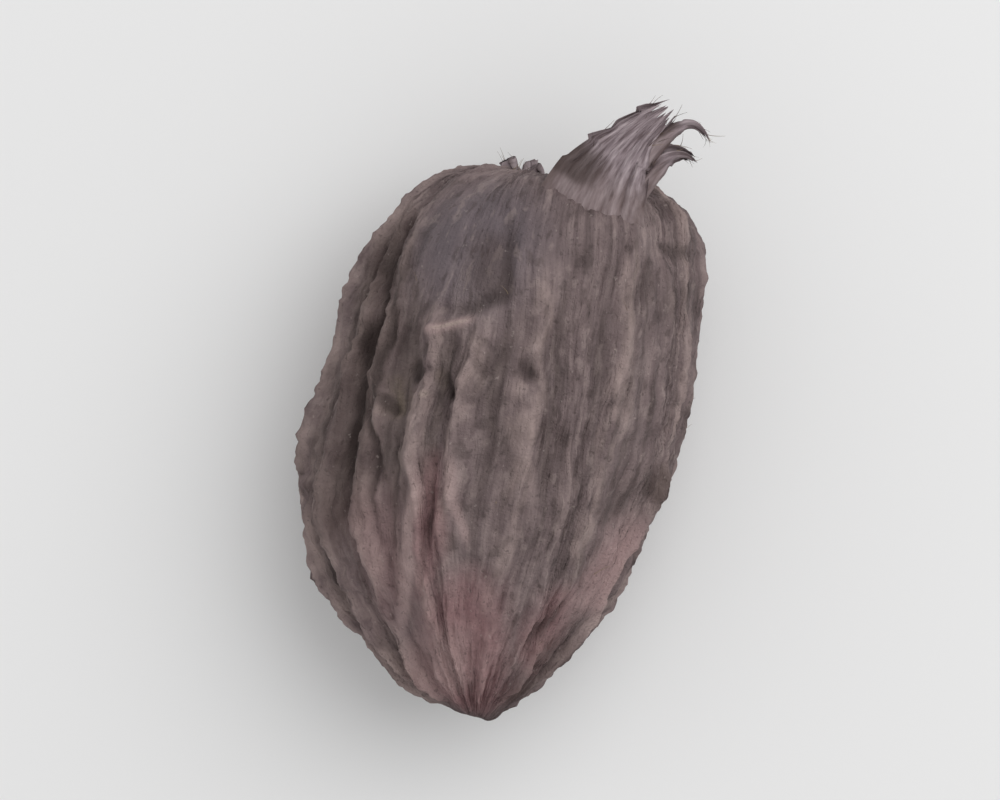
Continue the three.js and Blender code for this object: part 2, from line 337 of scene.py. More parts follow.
husk = new_piece(
    "husk",
    husk_points,
    closed_tube(ROWS - 1, RIDGES * COLUMNS_PER_RIDGE),
    share=husk_share,
    place=with_ends(place, 0, 0),
    strength=with_ends(rubbed * np.where(past < 0.5, strength_here, strength_next), 0, 0),
    between=with_ends(rubbed * ((1 - past) * strength_here + past * strength_next), 0, 0),
    grain=np.column_stack([np.cos(husk_turn), np.sin(husk_turn), husk_share]),
    **{
        label: np.exp(-((np.linalg.norm(husk_points - centre, axis=1) / radius) ** 2))
        for label, (centre, radius) in BULGES.items()
    },
    fray=(tip_fray + rim_fray * tufted + STRAY_FRAY) * clear_of_table,
    fray_way=fray_way,
    **{label: marked(marks, husk_points) for label, marks in MARKS.items()},
)

# The ridges are folds that the wall drew into as it dried: main ones with crinkled crests, lower ribs
# between them, and fine strands. A node tree raises them on the smooth body, with the crumples and
# grain of the skin, and presses the underside flat where the pod lies.
RELIEF_SIZES = {
    "Ridge Height": 0.72 * MM,
    "Settling": 0.35 * MM,
    "Furrow Depth": 0.18 * MM,
    "Rib Height": 0.26 * MM,
    "Strand Height": 0.26 * MM,
    "Bead Height": 0.26 * MM,
    "Crumple Height": 0.4 * MM,
    "Grain Height": 0.14 * MM,
    "Dome Height": 0.45 * MM,
    "Collar Height": 0.6 * MM,
}
# For each kind of fold: folds to a ridge spacing, half its width, sharpness, radius of its crest, and
# how far it strays to the sides, all in its own spacings
FOLDS = {
    "ridge": (1, 0.47, 1.25, 0.07, 0.6),
    "rib": (2, 0.42, 1.1, 0.1, 1.6),
}
# Patterns that follow the ridges, by the size of one lump across and along them, in millimetres
MEAN_RADIUS = 8.5
WANDER_SIZE = (1.7, 2.06)
STRAND_SIZE = (0.5, 3)
BEAD_SIZE = (0.95, 0.43)
# Patterns that lie all over
CRUMPLE_SIZE = 0.75
GRAIN_SIZE = 0.32
TIP_CALM = (0.005, 0.06)  # the skin is calm at the very tip
BULGE_CALM = (0.65, 0.15)  # folds are lowest where a bulge is this full, and whole where it is this thin
CALM_SHARE = 0.1  # what is left of them there
STRAND_EDGE = 0.25  # a strand's crest is where its noise is at its middle, and its foot this far off
LOWEST = (-1, -1, 0)  # far off to the sides, so that only the height of the table tells


def add_node(tree, kind, inputs=None, output=0, **settings):
    """Adds a node with its settings; an input is a value or another node's output. Gives an output."""
    node = tree.nodes.new(kind)
    for name, value in settings.items():
        setattr(node, name, value)
    for name, value in (inputs or {}).items():
        if isinstance(value, bpy.types.NodeSocket):
            tree.links.new(value, node.inputs[name])
        else:
            node.inputs[name].default_value = value
    return node.outputs[output] if node.outputs else node


def grain_scale(across_ridges, along_ridges):
    """What the grain attribute is multiplied by for lumps of a size in millimetres."""
    return MEAN_RADIUS / across_ridges, MEAN_RADIUS / across_ridges, BODY_LENGTH / along_ridges


def new_tree(name, sizes):
    """A geometry tree with a mesh, named sizes and a material as inputs. Gives it and its inputs."""
    tree = bpy.data.node_groups.new(name, "GeometryNodeTree")
    tree.is_modifier = True
    tree.interface.new_socket("Geometry", in_out="INPUT", socket_type="NodeSocketGeometry")
    for size in sizes:
        tree.interface.new_socket(size, in_out="INPUT", socket_type="NodeSocketFloat")
    tree.interface.new_socket("Material", in_out="INPUT", socket_type="NodeSocketMaterial")
    tree.interface.new_socket("Geometry", in_out="OUTPUT", socket_type="NodeSocketGeometry")
    return tree, tree.nodes.new("NodeGroupInput").outputs


def finish_tree(tree, geometry, material):
    """Realizes what a tree has made, gives it its material, and ends the tree."""
    real = add_node(tree, "GeometryNodeRealizeInstances", {"Geometry": geometry})
    dressed = add_node(tree, "GeometryNodeSetMaterial", {"Geometry": real, "Material": material})
    add_node(tree, "NodeGroupOutput", {"Geometry": dressed})


def run_tree(piece, tree, values):
    """Runs a geometry tree on a piece and keeps the result as the piece's plain mesh."""
    modifier = piece.modifiers.new(tree.name, "NODES")
    modifier.node_group = tree
    for socket in tree.interface.items_tree:
        if socket.in_out == "INPUT" and socket.name in values:
            modifier[socket.identifier] = values[socket.name]
    bpy.context.view_layer.update()
    depsgraph = bpy.context.evaluated_depsgraph_get()
    mesh = bpy.data.meshes.new_from_object(piece.evaluated_get(depsgraph), depsgraph=depsgraph)
    piece.modifiers.remove(modifier)
    piece.data = mesh


relief, given = new_tree("husk_relief", RELIEF_SIZES)
read = {
    label: add_node(relief, "GeometryNodeInputNamedAttribute", {"Name": label}, data_type="FLOAT")
    for label in ("place", "strength", "between", "share", "dome", "collar", "raised", "sunk", "ragged")
}
grain_at = add_node(relief, "GeometryNodeInputNamedAttribute", {"Name": "grain"}, data_type="FLOAT_VECTOR")
position = add_node(relief, "GeometryNodeInputPosition")
in_mm = add_node(relief, "ShaderNodeVectorMath", {0: position, "Scale": 1 / MM}, operation="SCALE")

# Patterns of noise about zero, in the ridges' own directions or all over
pattern = {}
for label, size, distortion in (
    ("wander", WANDER_SIZE, 0),
    ("strand", STRAND_SIZE, 0.4),
    ("bead", BEAD_SIZE, 0.3),
):
    at = add_node(relief, "ShaderNodeVectorMath", {0: grain_at, 1: grain_scale(*size)}, operation="MULTIPLY")
    inputs = {"Vector": at, "Scale": 1, "Detail": 2, "Distortion": distortion}
    pattern[label] = add_node(relief, "ShaderNodeTexNoise", inputs)
for label, size in (("crumple", CRUMPLE_SIZE), ("grain", GRAIN_SIZE)):
    inputs = {"Vector": in_mm, "Scale": 1 / size, "Detail": 2}
    pattern[label] = add_node(relief, "ShaderNodeTexNoise", inputs)
for label, noise in pattern.items():
    pattern[label] = add_node(relief, "ShaderNodeMath", {0: noise, 1: 0.5}, operation="SUBTRACT")

# Folds: how far a point is from the nearest crest, and how high the fold is there
fold = {}
distance = {}
for label, (count, foot, sharpness, rounding, stray) in FOLDS.items():
    spacings = add_node(relief, "ShaderNodeMath", {0: read["place"], 1: count}, operation="MULTIPLY")
    inputs = {0: pattern["wander"], 1: stray, 2: spacings}
    strayed = add_node(relief, "ShaderNodeMath", inputs, operation="MULTIPLY_ADD")
    distance[label] = add_node(relief, "ShaderNodeMath", {0: strayed, 1: 0.5}, operation="PINGPONG")
    inputs = {0: distance[label], 1: distance[label], 2: rounding**2}
    squared = add_node(relief, "ShaderNodeMath", inputs, operation="MULTIPLY_ADD")
    rounded = add_node(relief, "ShaderNodeMath", {0: squared}, operation="SQRT")
    inputs = {"Value": rounded, "From Min": foot + rounding, "From Max": rounding}
    slope = add_node(relief, "ShaderNodeMapRange", inputs)
    fold[label] = add_node(relief, "ShaderNodeMath", {0: slope, 1: sharpness}, operation="POWER")

crest = add_node(relief, "ShaderNodeMath", {0: fold["ridge"], 1: read["strength"]}, operation="MULTIPLY")
rib = add_node(relief, "ShaderNodeMath", {0: fold["rib"], 1: read["between"]}, operation="MULTIPLY")
furrow = add_node(relief, "ShaderNodeMath", {0: distance["ridge"], 1: 2}, operation="MULTIPLY")
furrow = add_node(relief, "ShaderNodeMath", {0: furrow, 1: read["between"]}, operation="MULTIPLY")
beaded = add_node(relief, "ShaderNodeMath", {0: crest, 1: rib}, operation="ADD")
beaded = add_node(relief, "ShaderNodeMath", {0: beaded, 1: read["ragged"]}, operation="ADD")
bead = add_node(relief, "ShaderNodeMath", {0: beaded, 1: pattern["bead"]}, operation="MULTIPLY")
strand = add_node(relief, "ShaderNodeMath", {0: pattern["strand"]}, operation="ABSOLUTE")
inputs = {"Value": strand, "From Min": STRAND_EDGE, "From Max": 0, "To Min": -0.5, "To Max": 0.5}
strand = add_node(relief, "ShaderNodeMapRange", inputs)

# All the layers add up to one rise along the body's own outward direction. The bulges are smooth, so
# folds and strands fade on them.
bulge = add_node(relief, "ShaderNodeMath", {0: read["dome"], 1: read["collar"]}, operation="MAXIMUM")
inputs = {"Value": bulge, "From Min": BULGE_CALM[0], "From Max": BULGE_CALM[1], "To Min": CALM_SHARE}
smooth = add_node(relief, "ShaderNodeMapRange", inputs)
fall = add_node(relief, "ShaderNodeMath", {0: given["Furrow Depth"], 1: -1}, operation="MULTIPLY")
rise = add_node(relief, "ShaderNodeMath", {0: furrow, 1: fall}, operation="MULTIPLY")
rise = add_node(relief, "ShaderNodeMath", {0: rise, 1: given["Settling"]}, operation="SUBTRACT")
for layer, height in (
    (crest, "Ridge Height"),
    (rib, "Rib Height"),
    (bead, "Bead Height"),
    (strand, "Strand Height"),
):
    inputs = {0: layer, 1: given[height], 2: rise}
    rise = add_node(relief, "ShaderNodeMath", inputs, operation="MULTIPLY_ADD")
rise = add_node(relief, "ShaderNodeMath", {0: rise, 1: smooth}, operation="MULTIPLY")
for layer, height in (
    (pattern["crumple"], "Crumple Height"),
    (pattern["grain"], "Grain Height"),
    (read["dome"], "Dome Height"),
    (read["collar"], "Collar Height"),
):
    inputs = {0: layer, 1: given[height], 2: rise}
    rise = add_node(relief, "ShaderNodeMath", inputs, operation="MULTIPLY_ADD")
lines = add_node(relief, "ShaderNodeMath", {0: read["raised"], 1: read["sunk"]}, operation="SUBTRACT")
rise = add_node(relief, "ShaderNodeMath", {0: lines, 1: MM, 2: rise}, operation="MULTIPLY_ADD")
inputs = {"Value": read["share"], "From Min": TIP_CALM[0], "From Max": TIP_CALM[1]}
calm = add_node(relief, "ShaderNodeMapRange", inputs)
rise = add_node(relief, "ShaderNodeMath", {0: rise, 1: calm}, operation="MULTIPLY")
outward = add_node(relief, "GeometryNodeInputNormal")
offset = add_node(relief, "ShaderNodeVectorMath", {0: outward, "Scale": rise}, operation="SCALE")
moved = add_node(relief, "ShaderNodeVectorMath", {0: position, 1: offset}, operation="ADD")
pressed = add_node(relief, "ShaderNodeVectorMath", {0: moved, 1: LOWEST}, operation="MAXIMUM")
shaped = add_node(relief, "GeometryNodeSetPosition", {"Geometry": given["Geometry"], "Position": pressed})
# the skin reads these: wear on the crests and ribs, and painted shade in the furrows
for label, layer in (("crest", crest), ("rib", rib), ("furrow", furrow)):
    faded = add_node(relief, "ShaderNodeMath", {0: layer, 1: smooth}, operation="MULTIPLY")
    inputs = {"Geometry": shaped, "Name": label, "Value": faded}
    shaped = add_node(relief, "GeometryNodeStoreNamedAttribute", inputs)
finish_tree(relief, shaped, given["Material"])

# Dried husk: a matt, dusty skin of plant fibre. Its furrows are darkened with painted shade,
# the crests are rubbed pale, and the tip has stayed red.
SKIN_SHADES = [(0.34, "#4f4342"), (0.5, "#6f6060"), (0.66, "#8b7b79")]
LAYERS = {
    # Each layer reads one value, is empty at its first mark and full at its second, to its strength
    "dome": (0.2, 0.9, 0.6, "#696066"),
    "dark dapple": (0.45, 0.33, 0.5, "#433837"),
    "pale dapple": (0.56, 0.68, 0.35, "#9b8b87"),
    # painted shade: the furrows between the ridges are darkened where shade would fall
    "furrow": (0.22, 0.7, 0.66, "#2d2422"),
    "rib": (0.25, 0.7, 0.4, "#9c8a86"),
    "crest": (0.15, 0.5, 0.55, "#a4918c"),
    # stains, and painted shade at the tip, on the dome, below the flap and down the left side
    "dark": (0.1, 0.9, 0.55, "#3e302c"),
    "red": (0.05, 1, 0.5, "#a17577"),
    "olive": (0.1, 0.9, 0.4, "#7d7059"),
    "pale": (0.1, 0.9, 0.55, "#b39b98"),
    # pale on the raised lines and bumps; on the fold below the dome it is a painted highlight
    "raised": (0.2, 0.3, 0.5, "#ab9a90"),
    # painted shade: darkens the sunken lines, creases and pits
    "sunk": (0.06, 0.36, 0.7, "#281e1c"),
    "dark speck": (0.36, 0.3, 0.35, "#2c2320"),
    "pale speck": (0.67, 0.75, 0.28, "#b3a6a0"),
}
WORN_LAYERS = ("rib", "crest", "olive")  # rubbed in streaks, not evenly
SPOTS = {"dark dapple": "dapple", "pale dapple": "dapple", "dark speck": "speck", "pale speck": "speck"}
WEAR_EDGES = (0.36, 0.66)
SKIN_ROUGHNESS = (0.92, 0.68)  # dusty, and where it is rubbed
ROUGHNESS_EDGES = (0.3, 0.7)
FIBRE_BUMP = 0.2
PORE_BUMP = 0.16
BUMP_STRENGTH = 0.7
MOTTLE_SIZE = 3.5
SPECK_SIZE = 0.28
PORE_SIZE = 0.14
# Sizes of patterns that follow the ridges, across and along them
STREAK_SIZE = (0.33, 3.3)
WEAR_SIZE = (0.77, 1.6)
DAPPLE_SIZE = (0.6, 0.8)
FIBRE_SIZE = (0.11, 1.2)


def linear(colour):
    """An sRGB hex colour as a linear one."""
    shares = [int(colour[k:k + 2], 16) / 255 for k in (1, 3, 5)]
    return [s / 12.92 if s <= 0.04045 else ((s + 0.055) / 1.055) ** 2.4 for s in shares] + [1]


def shade_ramp(tree, value, shades):
    """A colour that runs through three shades as a value rises; each shade has the value it stands at."""
    ramp = add_node(tree, "ShaderNodeValToRGB", {0: value})
    stops = ramp.node.color_ramp.elements
    stops.new(0.5)
    for stop, (at, shade) in zip(stops, shades):
        stop.position = at
        stop.color = linear(shade)
    return ramp


husk_skin = bpy.data.materials.new("dried_husk")
husk_skin.use_nodes = True
skin = husk_skin.node_tree
shader = skin.nodes["Principled BSDF"]

value = {
    label: add_node(skin, "ShaderNodeAttribute", output="Fac", attribute_name=label)
    for label in LAYERS
    if label not in SPOTS
}
grain_way = add_node(skin, "ShaderNodeAttribute", output="Vector", attribute_name="grain")
object_at = add_node(skin, "ShaderNodeTexCoord", output="Object")
skin_mm = add_node(skin, "ShaderNodeVectorMath", {0: object_at, "Scale": 1 / MM}, operation="SCALE")
for label, size in (("mottle", MOTTLE_SIZE), ("speck", SPECK_SIZE), ("pore", PORE_SIZE)):
    inputs = {"Vector": skin_mm, "Scale": 1 / size, "Detail": 3}
    value[label] = add_node(skin, "ShaderNodeTexNoise", inputs)
for label, size in (
    ("streak", STREAK_SIZE),
    ("wear", WEAR_SIZE),
    ("dapple", DAPPLE_SIZE),
    ("fibre", FIBRE_SIZE),
):
    at = add_node(skin, "ShaderNodeVectorMath", {0: grain_way, 1: grain_scale(*size)}, operation="MULTIPLY")
    value[label] = add_node(skin, "ShaderNodeTexNoise", {"Vector": at, "Scale": 1, "Detail": 3})
for label, noise in SPOTS.items():
    value[label] = value[noise]

tone = add_node(skin, "ShaderNodeMix", {0: 0.5, 2: value["mottle"], 3: value["streak"]}, data_type="FLOAT")
colour = shade_ramp(skin, tone, SKIN_SHADES)
inputs = {"Value": value["wear"], "From Min": WEAR_EDGES[0], "From Max": WEAR_EDGES[1]}
worn = add_node(skin, "ShaderNodeMapRange", inputs)
for label, (low, high, full, shade) in LAYERS.items():
    inputs = {"Value": value[label], "From Min": low, "From Max": high, "To Max": full}
    mask = add_node(skin, "ShaderNodeMapRange", inputs, interpolation_type="SMOOTHSTEP")
    if label in WORN_LAYERS:
        mask = add_node(skin, "ShaderNodeMath", {0: mask, 1: worn}, operation="MULTIPLY")
    inputs = {0: mask, 6: colour, 7: linear(shade)}
    colour = add_node(skin, "ShaderNodeMix", inputs, output=2, data_type="RGBA")
skin.links.new(colour, shader.inputs["Base Color"])

low, high = ROUGHNESS_EDGES
dusty, bare = SKIN_ROUGHNESS
inputs = {"Value": value["wear"], "From Min": low, "From Max": high, "To Min": dusty, "To Max": bare}
skin.links.new(add_node(skin, "ShaderNodeMapRange", inputs), shader.inputs["Roughness"])
shader.inputs["Specular IOR Level"].default_value = 0.3
inputs = {"Height": value["fibre"], "Distance": FIBRE_BUMP * MM, "Strength": BUMP_STRENGTH}
fibre_bump = add_node(skin, "ShaderNodeBump", inputs)
inputs = {
    "Height": value["pore"], "Distance": PORE_BUMP * MM, "Strength": BUMP_STRENGTH, "Normal": fibre_bump,
}
skin.links.new(add_node(skin, "ShaderNodeBump", inputs), shader.inputs["Normal"])

run_tree(husk, relief, RELIEF_SIZES | {"Material": husk_skin})
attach(husk, "root")
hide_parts("pod")

# The calyx is what has dried on of the flower: papery shreds at the rim of the crater, torn along their
# fibres. Three large ones overlap as a flap with hooked points, and short ones ring the rest.
UP = (0, 0, 1)
FLAP_SHREDS = [
    # root, bend and tip of its path, width, thickness at the root, the way its outer face looks, darkness
    ((1.7, 22.6, 4.3), (1.4, 27.3, 7.0), (5.1, 30.6, 6.2), 6.2, 2.2, UP, 0.0),
    ((3.0, 25.6, 5.3), (5.6, 31.5, 7.2), (7.0, 29.1, 5.2), 1.0, 0.5, UP, 0.4),
    ((2.9, 24.8, 4.8), (4.9, 29.3, 6.6), (6.5, 28.1, 4.8), 1.9, 0.5, UP, 0.5),
]
RIM_SHREDS = 7
RIM_RADIUS = 2.1
RIM_ROOT_Y = 24.8
RIM_BEND_Y = 26.4
RIM_TIP_Y = 26.8
RIM_WIDTH = 1.9
RIM_THICKNESS = 0.5
RIM_DARKNESS = 0.4
RIM_FIRST = 120  # where the first one stands round the crater, in degrees
RIM_STEP = 36
RIM_BEND_OUT = 0.95  # its bend and its tip, as shares of its distance from the middle
RIM_TIP_OUT = 1.1
# Each differs from the next by waves of its number: a height, and a pace
TURN_WAVE = (11, 2.1)
RADIUS_WAVE = (0.3, 1.7)
TIP_WAVE = (0.35, 2.6)
WIDTH_WAVE = (0.4, 3.1)
SHRED_TIP_WIDTH = 0.14  # a share of the width at the root
SHRED_TIP_THICKNESS = 0.36
SHRED_TAPER = 1.4
SHRED_ARCH = 0.1  # how far its edges hang back, as a share of its width
SHRED_EDGE = 0.4  # how much it thins towards its side edges
SHRED_THINNING = 2.5  # and how soon from its root
SHRED_NOTCHES = 26
TEAR_DEPTH = 0.12  # a share of the length
TEAR_WAVES = (8, 19)
NOTCH_DEPTH = 0.24  # a share of the half width
PLEAT_DEPTH = 0.2
PLEAT_PACES = (2.4, 5.5)
PLEAT_DRIFTS = (2, 3)
FINE_PLEATS = 0.6
# Where along a shred, as shares of its length, a thing begins and is full, or ends
NOTCHES_FROM = (0.3, 0.7)
PLEATS_FROM = (0.1, 0.5)
DARK_FROM = (0.5, 0.7)
FRAY_FROM = (0.45, 0.95)
# A corner of painted shadow: each shred is darker on its left, part of the way along, where its fold shades
# it
SHADOW_CORNER_FROM = (0.34, 0.42)
SHADOW_CORNER_STOPS = (0.48, 0.64)
SHADOW_CORNER_SIDE = (-0.2, 0.6)  # the dark corner is on its left, by share of the half width
FACE_FRAY = 0.15  # a share of the fray at its edges
SHRED_ROWS = 70
SHRED_COLUMNS = 64


def closed_blade(rows, columns):
    """Faces of flat rings of points, each end closed straight across from its upper to its lower side."""
    walls = closed_tube(rows, columns)[:(rows - 1) * columns]
    first = [(0, columns - 1, 1), (columns // 2 - 1, columns // 2 + 1, columns // 2)]
    first += [(k, columns - k, columns - k - 1, k + 1) for k in range(1, columns // 2 - 1)]
    last = [[(rows - 1) * columns + k for k in reversed(face)] for face in first]
    return walls + first + last


def shreds_piece(name, shreds):
    """One piece of several arched, pleated blades with torn edges, each along its own bent path."""
    points, faces, along, edge, dark, fibre_at, way = [], [], [], [], [], [], []
    turn = np.pi - 2 * np.pi * np.arange(SHRED_COLUMNS) / SHRED_COLUMNS
    across, up = np.cos(turn)[:, None], (np.sin(turn) * np.abs(np.sin(turn)) ** SHRED_EDGE)[:, None]
    for root, bend, tip, width, thickness, outer, darkness in shreds:
        start = chance.uniform(0, 6)
        tear = 0.5 + 0.5 * np.sin(TEAR_WAVES[0] * across + start) * np.cos(TEAR_WAVES[1] * across)
        s = np.linspace(0, 1, SHRED_ROWS)[:, None, None] * (1 - TEAR_DEPTH * tear)
        root, bend, tip = np.array([root, bend, tip], float)
        path = (1 - s) ** 2 * root + 2 * s * (1 - s) * bend + s**2 * tip
        tangent = (1 - s) * (bend - root) + s * (tip - bend)
        tangent /= np.linalg.norm(tangent, axis=-1, keepdims=True)
        width_way = np.cross(tangent, outer)
        width_way /= np.linalg.norm(width_way, axis=-1, keepdims=True)
        thickness_way = np.cross(width_way, tangent)
        notches = [
            np.interp(
                s[..., 0],
                np.sort(chance.uniform(0, 1, SHRED_NOTCHES)),
                chance.uniform(-NOTCH_DEPTH, NOTCH_DEPTH / 2, SHRED_NOTCHES),
            )[..., None]
            for _ in range(2)
        ]
        torn = 1 + np.where(across < 0, *notches) * np.abs(across) ** 2 * smoothstep(s, *NOTCHES_FROM)
        blade_width = width * (1 + (SHRED_TIP_WIDTH - 1) * s**SHRED_TAPER)
        thinned = (1 - s) ** SHRED_THINNING
        blade_thickness = SHRED_TIP_THICKNESS + (thickness - SHRED_TIP_THICKNESS) * thinned
        broad_pleats = np.sin(PLEAT_PACES[0] * width * across + PLEAT_DRIFTS[0] * s + start)
        fine_pleats = np.sin(PLEAT_PACES[1] * width * across - PLEAT_DRIFTS[1] * s)
        pleats = broad_pleats + FINE_PLEATS * fine_pleats
        hang = PLEAT_DEPTH * pleats * smoothstep(s, *PLEATS_FROM) - SHRED_ARCH * blade_width * across**2
        blade = (
            path
            + width_way * across * torn * blade_width / 2
            + thickness_way * (up * blade_thickness / 2 + hang)
        )
        first = sum(len(p) for p in points)
        points.append(blade.reshape(-1, 3))
        faces += [[first + i for i in f] for f in closed_blade(SHRED_ROWS, SHRED_COLUMNS)]
        length = np.linalg.norm(tip - root)
        laid = np.concatenate([s * 0 + across * width / 2, s * 0 + start, s * length], axis=-1)
        along.append(s.ravel())
        edge.append((s * 0 + np.abs(across)).ravel())
        # painted shadow on the shred's left, part of the way along, kept with its darkness
        corner = smoothstep(-across, *SHADOW_CORNER_SIDE) * smoothstep(s, *SHADOW_CORNER_FROM)
        corner = corner * (1 - smoothstep(s, *SHADOW_CORNER_STOPS))
        dark.append(np.maximum(darkness * smoothstep(s, *DARK_FROM), corner).ravel())
        fibre_at.append(laid.reshape(-1, 3))
        way.append(tangent.reshape(-1, 3))
    along, edge = np.concatenate(along), np.concatenate(edge)
    return new_piece(
        name,
        np.vstack(points),
        faces,
        along=along,
        edge=edge,
        dark=np.concatenate(dark),
        fibre_at=np.vstack(fibre_at),
        fray=smoothstep(along, *FRAY_FROM) * (FACE_FRAY + (1 - FACE_FRAY) * edge**4),
        fray_way=np.vstack(way),
    )


def rim_shred(number):
    """The path, sizes, outer way and darkness of one short shred at the rim."""
    turn_by, radius_by, tip_by, width_by = (
        height * math.sin(pace * number) for height, pace in (TURN_WAVE, RADIUS_WAVE, TIP_WAVE, WIDTH_WAVE)
    )
    turn = math.radians(RIM_FIRST + RIM_STEP * number + turn_by)
    radius = RIM_RADIUS + radius_by
    out = np.array([math.cos(turn), 0, math.sin(turn)])
    path = [
        out * radius + (0, RIM_ROOT_Y, 0),
        out * radius * RIM_BEND_OUT + (0, RIM_BEND_Y, 0),
        out * radius * RIM_TIP_OUT + (0, RIM_TIP_Y + tip_by, 0),
    ]
    return *path, RIM_WIDTH + width_by, RIM_THICKNESS, out, RIM_DARKNESS


# Dried calyx: papery and fibrous, pinkish grey on its face, darker at its torn edges and its root
CALYX_SHADES = [(0.32, "#66585a"), (0.5, "#94868a"), (0.68, "#b5a7aa")]
CALYX_LAYERS = [
    # What it reads, where it is empty and full, its strength and its shade
    ("edge", 0.75, 1, 0.45, "#463936"),
    ("along", 0.88, 1, 0.45, "#463936"),
    ("along", 0.6, 0.38, 0.5, "#705f5a"),
    # darker shreds, and the painted shadow on their left
    ("dark", 0.1, 0.9, 0.75, "#463936"),
]
CALYX_FIBRE_SCALE = (2.8, 1, 0.8)  # lumps to a millimetre across, from shred to shred, and along
CALYX_BUMP = 0.3
calyx_paper = bpy.data.materials.new("dried_calyx")
calyx_paper.use_nodes = True
paper = calyx_paper.node_tree
shader = paper.nodes["Principled BSDF"]
laid = add_node(paper, "ShaderNodeAttribute", output="Vector", attribute_name="fibre_at")
at = add_node(paper, "ShaderNodeVectorMath", {0: laid, 1: CALYX_FIBRE_SCALE}, operation="MULTIPLY")
fibres = add_node(paper, "ShaderNodeTexNoise", {"Vector": at, "Scale": 1, "Detail": 4})
colour = shade_ramp(paper, fibres, CALYX_SHADES)
for label, low, high, full, shade in CALYX_LAYERS:
    reading = add_node(paper, "ShaderNodeAttribute", output="Fac", attribute_name=label)
    inputs = {"Value": reading, "From Min": low, "From Max": high, "To Max": full}
    mask = add_node(paper, "ShaderNodeMapRange", inputs, interpolation_type="SMOOTHSTEP")
    inputs = {0: mask, 6: colour, 7: linear(shade)}
    colour = add_node(paper, "ShaderNodeMix", inputs, output=2, data_type="RGBA")
paper.links.new(colour, shader.inputs["Base Color"])
shader.inputs["Roughness"].default_value = 0.8
shader.inputs["Specular IOR Level"].default_value = 0.3
inputs = {"Height": fibres, "Distance": CALYX_BUMP * MM, "Strength": 0.8}
bump = add_node(paper, "ShaderNodeBump", inputs)
paper.links.new(bump, shader.inputs["Normal"])

flap = shreds_piece("calyx_flap", FLAP_SHREDS)
rim = shreds_piece("calyx_rim", [rim_shred(number) for number in range(RIM_SHREDS)])
for piece in (flap, rim):
    piece.data.materials.append(calyx_paper)
    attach(piece, "root")

# Loose fibres of the dried wall and the calyx stick out where these have frayed, like short coarse hairs.
# A node tree scatters them over a piece, more where it is frayed, each turned along the fray.
FIBRE_SIZES = {"Length": 0.9 * MM, "Per Square Metre": 4e6, "Lift": 0.2, "Stray": 0.4}
FIBRE_THINNESS = 0.022  # radius to length
FIBRE_BEND = 0.22
FIBRE_ROOT = 0.1  # the share of its length that is in the skin
FIBRE_HANDLES = (0.3, 0.6)
FIBRE_TIP = 0.3  # radius at the tip to radius at the root
SHORTEST_FIBRE = 0.35  # a share of the longest
FIBRE_SHADES = [(0, "#3a2d27"), (0.6, "#6e5c4d"), (1, "#9a8769")]

tufts, given = new_tree("fibre_tufts", FIBRE_SIZES)
fray = add_node(tufts, "GeometryNodeInputNamedAttribute", {"Name": "fray"}, data_type="FLOAT")
way = add_node(tufts, "GeometryNodeInputNamedAttribute", {"Name": "fray_way"}, data_type="FLOAT_VECTOR")
density = add_node(tufts, "ShaderNodeMath", {0: fray, 1: given["Per Square Metre"]}, operation="MULTIPLY")
inputs = {"Mesh": given["Geometry"], "Density": density, "Seed": 4}
scattered = add_node(tufts, "GeometryNodeDistributePointsOnFaces", inputs)
lift = add_node(
    tufts, "ShaderNodeVectorMath",
    {0: scattered.node.outputs["Normal"], "Scale": given["Lift"]}, operation="SCALE",
)
inputs = {0: (-1, -1, -1), 1: (1, 1, 1), "Seed": 1}
stray = add_node(tufts, "FunctionNodeRandomValue", inputs, data_type="FLOAT_VECTOR")
stray = add_node(tufts, "ShaderNodeVectorMath", {0: stray, "Scale": given["Stray"]}, operation="SCALE")
way = add_node(tufts, "ShaderNodeVectorMath", {0: way, 1: lift}, operation="ADD")
way = add_node(tufts, "ShaderNodeVectorMath", {0: way, 1: stray}, operation="ADD")
inputs = {0: (0, 0, 0), 1: (0, 0, 2 * math.pi), "Seed": 2}
roll = add_node(tufts, "FunctionNodeRandomValue", inputs, data_type="FLOAT_VECTOR")
roll = add_node(tufts, "FunctionNodeEulerToRotation", {"Euler": roll})
inputs = {"Rotation": roll, "Vector": way}
turned = add_node(tufts, "FunctionNodeAlignRotationToVector", inputs, axis="Z")
inputs = {2: SHORTEST_FIBRE, 3: 1, "Seed": 3}
size = add_node(tufts, "FunctionNodeRandomValue", inputs, output=1, data_type="FLOAT")
size = add_node(tufts, "ShaderNodeMath", {0: size, 1: given["Length"]}, operation="MULTIPLY")
inputs = {
    "Resolution": 5,
    "Start": (0, 0, -FIBRE_ROOT),
    "Start Handle": (0, 0, FIBRE_HANDLES[0]),
    "End Handle": (FIBRE_BEND, 0, FIBRE_HANDLES[1]),
    "End": (2 * FIBRE_BEND, 0, 1 - FIBRE_ROOT),
}
line = add_node(tufts, "GeometryNodeCurvePrimitiveBezierSegment", inputs)
along = add_node(tufts, "GeometryNodeSplineParameter", output="Factor")
taper = add_node(tufts, "ShaderNodeMapRange", {"Value": along, "To Min": 1, "To Max": FIBRE_TIP})
ring = add_node(tufts, "GeometryNodeCurvePrimitiveCircle", {"Resolution": 4, "Radius": FIBRE_THINNESS})
inputs = {"Curve": line, "Profile Curve": ring, "Scale": taper, "Fill Caps": True}
fibre = add_node(tufts, "GeometryNodeCurveToMesh", inputs)
inputs = {"Points": scattered, "Instance": fibre, "Rotation": turned, "Scale": size}
placed = add_node(tufts, "GeometryNodeInstanceOnPoints", inputs)
shade = add_node(tufts, "FunctionNodeRandomValue", {2: 0, 3: 1, "Seed": 5}, output=1, data_type="FLOAT")
inputs = {"Geometry": placed, "Name": "shade", "Value": shade}
placed = add_node(tufts, "GeometryNodeStoreNamedAttribute", inputs, domain="INSTANCE")
finish_tree(tufts, placed, given["Material"])

